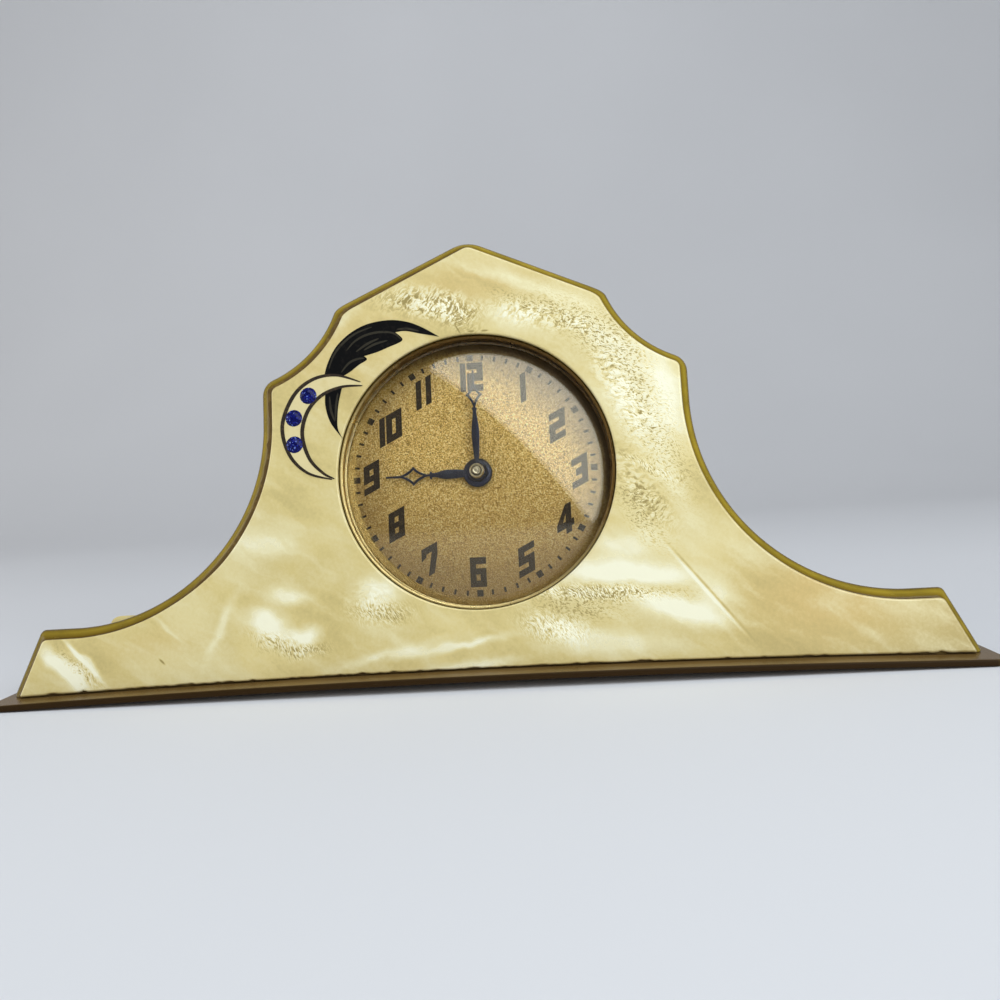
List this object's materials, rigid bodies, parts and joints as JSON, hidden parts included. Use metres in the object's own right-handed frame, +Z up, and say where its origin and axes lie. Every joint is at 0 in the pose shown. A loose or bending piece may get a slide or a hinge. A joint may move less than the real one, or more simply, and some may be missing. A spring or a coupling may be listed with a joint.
{
  "type": "desk clock",
  "caption": "Free-standing desk clock: a leaning pearl-faced panel of curved outline on a thin base plate, with a round glazed dial, hands and a wind-up movement in a can behind.",
  "frame": {"origin": "middle of the base plate's underside", "axes": "+Z up, +X to the right as seen from the front, the dial faces -Y and leans back 10 degrees"},
  "size_m": [0.179, 0.05, 0.0813],
  "materials": {
    "amber_celluloid": "clear amber celluloid sheet, bevelled and polished",
    "pearl_celluloid": "pearl celluloid sheet, cream yellow with silky shimmer",
    "blue_stone": "deep blue foiled glass",
    "crystal_glass": "clear domed glass",
    "brass": "aged brass",
    "gilt_dial": "gilt with a fine stipple",
    "blued_steel": "heat-blued steel",
    "nickel": "dulled nickel plate",
    "steel": "plain steel"
  },
  "bodies": {
    "case": {"base_plate": "amber_celluloid", "front_panel": "amber_celluloid", "pearl_facing": "pearl_celluloid", "brace_left": "pearl_celluloid", "brace_right": "pearl_celluloid", "stone_1": "blue_stone", "stone_2": "blue_stone", "stone_3": "blue_stone", "bezel_ring": "brass", "crystal": "crystal_glass", "sight_ring": "brass", "dial": "gilt_dial", "dial_spacer": "brass", "movement_can": "nickel", "can_screw_1": "steel", "can_screw_2": "steel", "can_screw_3": "steel", "front_plate": "brass", "back_plate": "brass", "pillar_1": "steel", "pillar_2": "steel", "pillar_3": "steel", "pillar_nut_1": "steel", "pillar_nut_2": "steel", "pillar_nut_3": "steel", "plate_nut_1": "steel", "plate_nut_2": "steel", "plate_nut_3": "steel", "case_screw_1": "steel", "case_screw_2": "steel", "case_screw_3": "steel", "mainspring": "blued_steel", "hairspring": "blued_steel", "hairspring_stud": "steel"},
    "minute": {"centre_arbor": "steel", "cannon_pinion": "steel", "minute_hand": "blued_steel", "hand_nut": "nickel", "set_knob": "brass"},
    "motion": {"minute_wheel": "brass"},
    "hour": {"hour_wheel": "brass", "hour_hand": "blued_steel"},
    "winding": {"winding_arbor": "steel", "ratchet_wheel": "steel", "winding_key": "brass"},
    "great": {"great_wheel": "brass", "click_spring": "steel"},
    "click": {"click": "steel"},
    "centre": {"centre_wheel": "brass"},
    "third": {"third_wheel": "brass"},
    "fourth": {"fourth_wheel": "brass"},
    "escape": {"escape_wheel": "brass"},
    "pallets": {"pallet_lever": "steel"},
    "balance": {"balance_wheel": "nickel"},
    "regulator": {"regulator_lever": "steel"}
  },
  "joints": [
    {"name": "minute_turn", "type": "hinge", "parent": "case", "child": "minute", "pos_m": [0, -0.01408, 0.03824], "axis": [0, 0.9848, -0.1736], "continuous": true},
    {"name": "motion_turn", "type": "hinge", "parent": "case", "child": "motion", "pos_m": [0, -0.01533, 0.03115], "axis": [0, 0.9848, -0.1736], "continuous": true},
    {"name": "hour_turn", "type": "hinge", "parent": "case", "child": "hour", "pos_m": [0, -0.01408, 0.03824], "axis": [0, 0.9848, -0.1736], "continuous": true},
    {"name": "fourth_turn", "type": "hinge", "parent": "case", "child": "fourth", "pos_m": [0.01252, -0.01318, 0.04333], "axis": [0, 0.9848, -0.1736], "continuous": true},
    {"name": "third_turn", "type": "hinge", "parent": "case", "child": "third", "pos_m": [0.01015, -0.01472, 0.0346], "axis": [0, 0.9848, -0.1736], "continuous": true},
    {"name": "centre_turn", "type": "hinge", "parent": "case", "child": "centre", "pos_m": [0, -0.01408, 0.03824], "axis": [0, 0.9848, -0.1736], "continuous": true},
    {"name": "great_turn", "type": "hinge", "parent": "case", "child": "great", "pos_m": [-0.00922, -0.01542, 0.03062], "axis": [0, 0.9848, -0.1736], "continuous": true},
    {"name": "escape_turn", "type": "hinge", "parent": "case", "child": "escape", "pos_m": [0.00646, -0.01229, 0.04834], "axis": [0, 0.9848, -0.1736], "continuous": true},
    {"name": "winding_turn", "type": "hinge", "parent": "case", "child": "winding", "pos_m": [-0.00922, -0.01542, 0.03062], "axis": [0, 0.9848, -0.1736], "range_deg": [0, 1800]},
    {"name": "click_lift", "type": "hinge", "parent": "great", "child": "click", "pos_m": [-0.00299, -0.01479, 0.03416], "axis": [0, 0.9848, -0.1736], "range_deg": [-12, 0]},
    {"name": "pallet_swing", "type": "hinge", "parent": "case", "child": "pallets", "pos_m": [-0.00058, -0.01185, 0.05087], "axis": [0, 0.9848, -0.1736], "range_deg": [-5, 5]},
    {"name": "balance_swing", "type": "hinge", "parent": "case", "child": "balance", "pos_m": [-0.0095, -0.01212, 0.04932], "axis": [0, 0.9848, -0.1736], "range_deg": [-220, 220]},
    {"name": "regulator_swing", "type": "hinge", "parent": "case", "child": "regulator", "pos_m": [-0.0095, -0.01212, 0.04932], "axis": [0, 0.9848, -0.1736], "range_deg": [-25, 25]}
  ],
  "couplings": [
    {"joint": "motion_turn", "follows": "minute_turn", "ratio": -0.33333},
    {"joint": "hour_turn", "follows": "minute_turn", "ratio": 0.083333},
    {"joint": "third_turn", "follows": "fourth_turn", "ratio": -0.13333},
    {"joint": "centre_turn", "follows": "fourth_turn", "ratio": 0.016667},
    {"joint": "great_turn", "follows": "fourth_turn", "ratio": -0.0027778},
    {"joint": "escape_turn", "follows": "fourth_turn", "ratio": -8}
  ]
}
